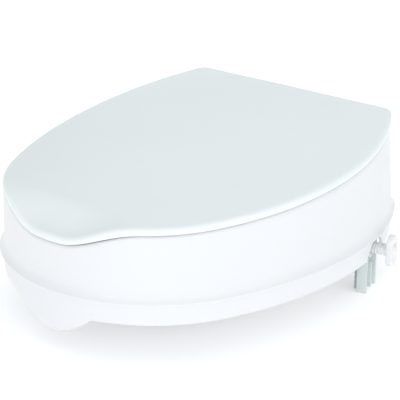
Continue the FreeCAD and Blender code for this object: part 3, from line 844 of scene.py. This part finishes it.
def lid_rows(lid):
    centre = np.array([0.0, 0.0])
    edge = lid_outline(lid.edge_radius)
    rows = []
    for k in range(1, 61):
        line = between(centre, edge, k / 60)
        rows.append(raised(line, lid_top(line)))
    for angle in reversed(quarter(8)[:-1]):
        line = lid_outline(lid.edge_radius * (1 - math.cos(angle)))
        rows.append(raised(line, lid_top(line) - lid.edge_radius * (1 - math.sin(angle))))
    line = lid_outline()
    bottom = seat_rim(line) + lid.gap
    small = 0.7 * MM
    rows.append(raised(line, bottom + small))
    for inset, up in ((0.12, 0.3), (0.4, 0.1), (0.8, 0.0), (2.0, 0.0), (2.4, 0.1), (2.7, 0.35), (2.8, 0.7)):
        line = lid_outline(inset * MM)
        rows.append(raised(line, seat_rim(line) + lid.gap + up * MM))
    fillet = 2.0 * MM
    for angle in quarter(4):
        line = lid_outline(lid.wall + fillet * (1 - math.cos(angle)))
        rows.append(raised(line, lid_top(line) - lid.wall - fillet * (1 - math.sin(angle)) - 0.2 * MM))
    edge = lid_outline(lid.wall + fillet)
    for k in range(39, 0, -1):
        line = between(centre, edge, k / 40)
        rows.append(raised(line, lid_top(line) - lid.wall - 0.2 * MM))
    top = float(lid_top(centre[None])[0])
    return rows, (0, 0, top), (0, 0, top - lid.wall - 0.2 * MM)


def hinge_axis():
    return (PIN_LOW[1] + PIN_HIGH[1]) / 2, (PIN_LOW[2] + PIN_HIGH[2]) / 2


def hinge_profile(points, start, end, radius=6.0):
    """Side view of a hinge part, in millimetres about the axis: points, then an arc round the eye."""
    y, z = hinge_axis()
    profile = [(y + a * MM, z + b * MM) for a, b in points]
    for k in range(25):
        angle = math.radians(start + (end - start) * k / 24)
        profile.append((y + radius * MM * math.cos(angle), z + radius * MM * math.sin(angle)))
    return profile


def hinge_middle(side):
    """Middle of a hinge across the lid: halfway along its bush."""
    low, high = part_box("lid_hinge_bush_" + ("right" if side > 0 else "left"))
    return (low[0] + high[0]) / 2, (high[0] - low[0]) / 2


class RAISEDSEAT_OT_lid(bpy.types.Operator):
    """Lid: crowned skin with a rolled edge that bends into the front recess, and its hinge ears"""
    bl_idname = "raised_seat.lid"
    bl_label = "Lid"

    def execute(self, context):
        lid = context.scene.raised_seat_lid
        rows, top, under = lid_rows(lid)
        vertices, faces = skin(rows, start_pole=top, end_pole=under)
        cover = piece_from("lid_cover", vertices, faces, finish("white_lid"))
        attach(cover, "lid")
        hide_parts("lid")
        for side_name, side in SIDES:
            middle, half = hinge_middle(side)
            arm = [(-7.2, 10.8), (-9.0, 12.4), (-10.8, 12.4), (-10.8, 10.9), (-8.5, 10.6)]
            profile = hinge_profile(arm, 168, 390)
            ear = piece_from("lid_ear_" + side_name, *extruded(profile, middle - half, middle + half),
                             finish("white_lid"))
            bore(ear, middle, 4.5)
            round_edges(ear, 0.5 * MM)
            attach(ear, "lid")
        return {"FINISHED"}


def bore(obj, middle, radius):
    y, z = hinge_axis()
    rows = []
    for x in (middle - 0.03, middle + 0.03):
        ring = arc(y, z, radius * MM, 0, 2 * math.pi, 48)
        rows.append(np.column_stack([np.full(len(ring), x), ring]))
    return cut_with(obj, [closed_skin(rows)], "bore")


class RAISEDSEAT_OT_hinge(bpy.types.Operator):
    """Hinge lugs on the rear wall, with the pins and bushes that the lid turns on"""
    bl_idname = "raised_seat.hinge"
    bl_label = "Lid hinge"

    def execute(self, context):
        for side_name, side in SIDES:
            middle, half = hinge_middle(side)
            profile = hinge_profile([(-10.6, 1.5), (-10.6, -22.0)], 255, 505)
            parts = []
            for sign in (-1, 1):
                near = middle + sign * (half + 0.5 * MM)
                far = near + sign * 6 * MM
                parts.append(extruded(profile, min(near, far), max(near, far)))
            lugs = piece_from("hinge_lugs_" + side_name, *joined(parts), finish("white_moulding"))
            bore(lugs, middle, 3.0)
            round_edges(lugs, 0.6 * MM)
            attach(lugs, "base")
            pin = finished_node("lid_hinge_pin_" + side_name, finish("natural_acetal"), 0.4 * MM)
            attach(pin, "base")
            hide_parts("lid_hinge_pin_" + side_name)
            bush = finished_node("lid_hinge_bush_" + side_name, finish("natural_acetal"), 0.2 * MM)
            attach(bush, "lid")
            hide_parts("lid_hinge_bush_" + side_name)
        return {"FINISHED"}


# --- Clamps ---

def turned_rows(stations, side, count=64):
    """Rows of a shape turned about the clamp axis, from (place along the axis, radius) in millimetres."""
    rows = []
    for s, radius in stations:
        ring = arc(0, CLAMP_Z, radius, 0, 2 * math.pi, count)
        rows.append(clamp_points(np.column_stack([np.full(count, s), ring]) * MM, side))
    return rows


def thread_rows(start, end, side, clamp, count=64):
    """Rows of a right-hand screw thread: the radius follows a helix."""
    pitch, depth, major = clamp.pitch / MM, clamp.thread_depth / MM, SHANK_RADIUS
    steps = int((end - start) / 0.2)
    angle = 2 * math.pi * np.arange(count) / count
    rows = []
    for k in range(steps + 1):
        s = start + (end - start) * k / steps
        phase = (s / pitch + side * angle / (2 * math.pi)) % 1.0
        ridge = np.clip((np.abs(phase - 0.5) * 2 - 0.3) / 0.4, 0.0, 1.0)
        fade = min(1.0, (s - start) / 1.5, (end - s) / 1.5)
        radius = major - depth * (ridge * fade + (1 - fade) * 0.35)
        local = np.column_stack([np.full(count, s), radius * np.cos(angle), CLAMP_Z + radius * np.sin(angle)])
        rows.append(clamp_points(local * MM, side))
    return rows


def wing_line(count_lobe=40, count_flank=24):
    """Outline of the knob: two round lobes, up and down, joined by hollow flanks."""
    lobe, waist = KNOB_LOBE, KNOB_WAIST
    centre = KNOB_HALF - lobe
    flank = (waist ** 2 + centre ** 2 - lobe ** 2) / (2 * (lobe - waist))
    turn = math.atan2(centre, flank + waist)
    return np.vstack([
        arc(0, centre, lobe, -turn, math.pi + turn, count_lobe),
        arc(-flank - waist, 0, flank, turn, -turn, count_flank),
        arc(0, -centre, lobe, math.pi - turn, 2 * math.pi + turn, count_lobe),
        arc(flank + waist, 0, flank, math.pi + turn, math.pi - turn, count_flank),
    ])


def knob_rows(side):
    """Rows over the knob, from the middle of its inner face to the middle of its outer face."""
    wing = wing_line()
    disc = wing / np.linalg.norm(wing, axis=1)[:, None]
    face = KNOB_SEAT
    top = KNOB_THICKNESS
    shapes = [(disc * 3.0, 0.0), (disc * 6.2, 0.0), (disc * 6.8, 0.25), (disc * 7.0, 0.8)]
    for share, s in ((0.03, 1.3), (0.12, 1.5), (0.5, 1.5)):
        shapes.append((between(disc * 7.0, wing * 0.9, share), s))
    for angle in quarter(5):
        shapes.append((wing * (0.9 + 0.1 * math.sin(angle)), 1.5 + 1.8 * (1 - math.cos(angle))))
    for angle in reversed(quarter(6)):
        shapes.append((wing * (0.88 + 0.12 * math.sin(angle)), top - 2.2 * (1 - math.cos(angle))))
    for share, drop in ((0.8, 0.25), (0.6, 0.7), (0.4, 1.05), (0.2, 1.2), (0.08, 1.1), (0.0, 0.8)):
        shapes.append((between(disc * 6.6, wing * 0.88, share), top - drop))
    for radius, rise in ((6.3, 0.2), (5.8, 0.9), (4.8, 1.3), (3.0, 1.47), (1.4, 1.5)):
        shapes.append((disc * radius, top + rise))
    rows = []
    for line, s in shapes:
        local = np.column_stack([np.full(len(line), face + s), line[:, 0], CLAMP_Z + line[:, 1]])
        rows.append(clamp_points(local * MM, side))
    return rows


class RAISEDSEAT_OT_clamps(bpy.types.Operator):
    """Clamps: legs, rubber pads, threaded shanks, nuts, clips and wing knobs"""
    bl_idname = "raised_seat.clamps"
    bl_label = "Clamps"

    def execute(self, context):
        clamp = context.scene.raised_seat_clamp
        for side_name, side in SIDES:
            shoulder = LEG_INNER + LEG_PLATE + 0.3
            stations = [(0.4, 3.4), (0.8, 4.0), (1.15, 4.0), (1.2, 3.2), (2.4, 3.2), (2.45, 4.0)]
            stations = [(LEG_INNER + s, radius) for s, radius in stations]
            stations += [(shoulder, 4.0), (shoulder + 0.1, 5.7)]
            rows = turned_rows(stations, side) + thread_rows(shoulder + 0.3, KNOB_SEAT - 1.2, side, clamp)
            collar = [(-1.0, 6.3), (-0.2, 6.3), (-0.05, 6.1), (0.0, 4.5), (5.9, 4.5)]
            rows += turned_rows([(KNOB_SEAT + s, radius) for s, radius in collar], side)
            screw = piece_from("clamp_shank_" + side_name, *closed_skin(rows), finish("white_knob"), sharp=50)
            knob = piece_from("wing_knob_" + side_name, *closed_skin(knob_rows(side)),
                              finish("white_knob"), sharp=60)
            for piece, node in ((screw, "clamp_screw_"), (knob, "clamp_knob_")):
                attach(piece, "knob_" + side_name)
                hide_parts(node + side_name)
            for node, body, material, slot, width in (
                    ("clamp_bracket_", "clamp_" + side_name, "grey_bracket", "bracket_plastic", clamp.edge),
                    ("clamp_pad_", "clamp_" + side_name, "pad_rubber", "rubber", 0.25 * MM),
                    ("clamp_clip_", "knob_" + side_name, "zinc_steel", "steel", 0.15 * MM),
                    ("clamp_nut_", "base", "natural_acetal", "bearing_plastic", 0.2 * MM)):
                piece = finished_node(node + side_name, finish(material), width)
                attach(piece, body)
                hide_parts(node + side_name)
        return {"FINISHED"}


# --- Pads and screws ---

class RAISEDSEAT_OT_pads(bpy.types.Operator):
    """Rubber: rim pads, tongue pad and lid buffers with rounded edges"""
    bl_idname = "raised_seat.pads"
    bl_label = "Pads and buffers"

    def execute(self, context):
        pads = [("rim_pad_%s_%s" % (end, side), "base") for end in ("front", "rear") for side, _ in SIDES]
        pads += [("lid_buffer_%s_%s" % (end, side), "lid") for end in ("front", "rear") for side, _ in SIDES]
        pads.append(("tongue_pad", "base"))
        for node, body in pads:
            pad = finished_node(node, finish("pad_rubber"), 0.5 * MM, 3)
            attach(pad, body)
            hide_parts(node)
        return {"FINISHED"}


def screw_template(material):
    """One pan-head screw with a cross recess, head down, its head's seat at the origin."""
    rows = []
    stations = ((0.9, -1.15), (1.6, -1.55), (2.6, -1.45), (3.3, -1.1), (3.7, -0.6), (3.8, -0.15), (3.75, 0.0),
                (2.2, 0.05))
    for radius, z in stations:
        rows.append(raised(arc(0, 0, radius, 0, 2 * math.pi, 32), z))
    for k in range(36):
        z = 0.4 + k * 0.36
        angle = 2 * math.pi * np.arange(32) / 32
        phase = (z / 1.4 + angle / (2 * math.pi)) % 1.0
        radius = 1.95 - 0.4 * np.clip(np.abs(phase - 0.5) * 2.2, 0, 1) * min(1.0, (13.4 - z) / 3.0 + 0.2)
        rows.append(np.column_stack([radius * np.cos(angle), radius * np.sin(angle), np.full(32, z)]))
    rows = [row * MM for row in rows]
    vertices, faces = skin(rows, start_pole=(0, 0, -1.15 * MM), end_pole=(0, 0, 13.6 * MM))
    screw = piece_from("screw_template", vertices, faces, material, sharp=40)
    for a, b in ((2.1, 0.45), (0.45, 2.1)):
        cut_with(screw, [(box_corners((-a, -b, -2.0), (a, b, -0.4)), BOX_FACES)], "cross")
    return screw


def ring_of_screws_tree(template, material):
    """Geometry nodes that set copies of the template round an ellipse."""
    tree = bpy.data.node_groups.new("Ring of screws", "GeometryNodeTree")
    sockets = {}
    for name, kind in (("Count", "NodeSocketInt"), ("Reach", "NodeSocketVector"),
                       ("Middle", "NodeSocketVector")):
        sockets[name] = tree.interface.new_socket(name=name, in_out="INPUT", socket_type=kind).identifier
    tree.interface.new_socket(name="Geometry", in_out="OUTPUT", socket_type="NodeSocketGeometry")
    nodes, link = tree.nodes, tree.links.new
    given = nodes.new("NodeGroupInput")
    circle = nodes.new("GeometryNodeMeshCircle")
    circle.inputs["Radius"].default_value = 1.0
    half_step = nodes.new("ShaderNodeMath")
    half_step.operation = "DIVIDE"
    half_step.inputs[0].default_value = math.pi
    turn = nodes.new("ShaderNodeCombineXYZ")
    spin = nodes.new("GeometryNodeTransform")
    place = nodes.new("GeometryNodeTransform")
    source = nodes.new("GeometryNodeObjectInfo")
    source.inputs["Object"].default_value = template
    copies = nodes.new("GeometryNodeInstanceOnPoints")
    real = nodes.new("GeometryNodeRealizeInstances")
    paint = nodes.new("GeometryNodeSetMaterial")
    paint.inputs["Material"].default_value = material
    result = nodes.new("NodeGroupOutput")
    link(given.outputs["Count"], circle.inputs["Vertices"])
    link(given.outputs["Count"], half_step.inputs[1])
    link(half_step.outputs[0], turn.inputs["Z"])
    link(circle.outputs["Mesh"], spin.inputs["Geometry"])
    link(turn.outputs[0], spin.inputs["Rotation"])
    link(spin.outputs["Geometry"], place.inputs["Geometry"])
    link(given.outputs["Reach"], place.inputs["Scale"])
    link(given.outputs["Middle"], place.inputs["Translation"])
    link(place.outputs["Geometry"], copies.inputs["Points"])
    link(source.outputs["Geometry"], copies.inputs["Instance"])
    link(copies.outputs["Instances"], real.inputs["Geometry"])
    link(real.outputs["Geometry"], paint.inputs["Geometry"])
    link(paint.outputs["Geometry"], result.inputs[0])
    return tree, sockets


class RAISEDSEAT_OT_screws(bpy.types.Operator):
    """Base screws: one pan-head screw, set round the ledge by geometry nodes"""
    bl_idname = "raised_seat.screws"
    bl_label = "Base screws"

    def execute(self, context):
        steel = finish("zinc_steel")
        template = screw_template(steel)
        tree, sockets = ring_of_screws_tree(template, steel)
        middle, reach_x, reach_y = screw_ring()
        mesh = bpy.data.meshes.new("base_screw_set")
        screws = bpy.data.objects.new("base_screw_set", mesh)
        context.scene.collection.objects.link(screws)
        ring = screws.modifiers.new("ring", "NODES")
        ring.node_group = tree
        ring[sockets["Count"]] = SCREW_COUNT
        ring[sockets["Reach"]] = (reach_x, reach_y, 1.0)
        ring[sockets["Middle"]] = (middle[0], middle[1], LEDGE_Z + SCREW_HEAD_HEIGHT)
        baked(screws)
        screws.data.set_sharp_from_angle(angle=math.radians(40))
        bpy.data.objects.remove(template)
        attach(screws, "base")
        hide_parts("base_screws")
        return {"FINISHED"}


# --- Studio ---

FLOOR_REACH = 30.0
TARGET = (0.0, 0.0342, 0.0528)
LIGHTS = (
    ("front_panel", (0.9, -2.2, 0.75), (2.4, 1.2), 12.0, (1, 1, 1)),
    ("side_panel", (2.2, -0.3, 0.7), (1.8, 1.2), 8.0, (1, 1, 1)),
    ("rear_panel", (-1.2, 2.0, 1.6), (2.0, 1.2), 3.0, (0.93, 0.98, 1.0)),
)


def soft_light(name, place, size, power, tint, aim=(0.0, 0.0, 0.05)):
    data = bpy.data.lights.new(name, "AREA")
    data.shape = "RECTANGLE"
    data.size, data.size_y = size
    data.energy = power
    data.color = tint
    light = bpy.data.objects.new(name, data)
    light.location = place
    light.rotation_euler = (Vector(aim) - Vector(place)).to_track_quat("-Z", "Y").to_euler()
    bpy.context.scene.collection.objects.link(light)


class RAISEDSEAT_OT_studio(bpy.types.Operator):
    """Studio: pale floor, soft lights, pale surroundings and the camera"""
    bl_idname = "raised_seat.studio"
    bl_label = "Studio"

    def execute(self, context):
        studio = context.scene.raised_seat_studio
        scene = context.scene
        floor_z = CAD_BOUNDS[0][2] - studio.floor_drop
        far = FLOOR_REACH
        corners = [(-far, -far, floor_z), (far, -far, floor_z), (far, far, floor_z), (-far, far, floor_z)]
        floor = piece_from("studio_floor", corners, [(0, 1, 2, 3)], finish("pale_floor"))
        world = bpy.data.worlds.new("pale_surroundings")
        world.use_nodes = True
        sky = world.node_tree.nodes["Background"]
        sky.inputs["Color"].default_value = (0.95, 0.985, 1.0, 1)
        sky.inputs["Strength"].default_value = 0.82
        scene.world = world
        for light in LIGHTS:
            soft_light(*light)
        data = bpy.data.cameras.new("camera")
        data.lens = studio.lens
        data.sensor_width = 36.0
        data.shift_x = -0.0118
        data.shift_y = -0.068
        data.clip_end = 50.0
        camera = bpy.data.objects.new("camera", data)
        target = Vector(TARGET)
        level = math.cos(studio.elevation)
        back = Vector((math.sin(studio.azimuth) * level, -math.cos(studio.azimuth) * level,
                       math.sin(studio.elevation)))
        camera.location = target + back * studio.distance
        camera.rotation_euler = (-back).to_track_quat("-Z", "Y").to_euler()
        scene.collection.objects.link(camera)
        scene.camera = camera
        scene.view_settings.view_transform = "Standard"
        return {"FINISHED"}


class RAISEDSEAT_PT_panel(bpy.types.Panel):
    bl_idname = "RAISEDSEAT_PT_panel"
    bl_label = "Raised Seat"
    bl_space_type = "VIEW_3D"
    bl_region_type = "UI"
    bl_category = "Raised Seat"

    def draw(self, context):
        layout = self.layout
        for group in (context.scene.raised_seat_body, context.scene.raised_seat_lid,
                      context.scene.raised_seat_clamp, context.scene.raised_seat_studio):
            box = layout.box()
            for name in group.__annotations__:
                box.prop(group, name)
        for operator in OPERATORS:
            layout.operator(operator.bl_idname)


GROUPS = (RaisedSeatBody, RaisedSeatLid, RaisedSeatClamp, RaisedSeatStudio)
OPERATORS = (RAISEDSEAT_OT_moulding, RAISEDSEAT_OT_base_ring, RAISEDSEAT_OT_lid, RAISEDSEAT_OT_hinge,
             RAISEDSEAT_OT_clamps, RAISEDSEAT_OT_pads, RAISEDSEAT_OT_screws, RAISEDSEAT_OT_studio)


def register():
    for item in (*GROUPS, *OPERATORS, RAISEDSEAT_PT_panel):
        bpy.utils.register_class(item)
    bpy.types.Scene.raised_seat_body = PointerProperty(type=RaisedSeatBody)
    bpy.types.Scene.raised_seat_lid = PointerProperty(type=RaisedSeatLid)
    bpy.types.Scene.raised_seat_clamp = PointerProperty(type=RaisedSeatClamp)
    bpy.types.Scene.raised_seat_studio = PointerProperty(type=RaisedSeatStudio)


def unregister():
    for name in ("raised_seat_body", "raised_seat_lid", "raised_seat_clamp", "raised_seat_studio"):
        delattr(bpy.types.Scene, name)
    for item in reversed((*GROUPS, *OPERATORS, RAISEDSEAT_PT_panel)):
        bpy.utils.unregister_class(item)


def main():
    register()
    bpy.ops.raised_seat.studio()
    bpy.ops.raised_seat.moulding()
    bpy.ops.raised_seat.base_ring()
    bpy.ops.raised_seat.lid()
    bpy.ops.raised_seat.hinge()
    bpy.ops.raised_seat.clamps()
    bpy.ops.raised_seat.pads()
    bpy.ops.raised_seat.screws()


if __name__ == "__main__":
    main()
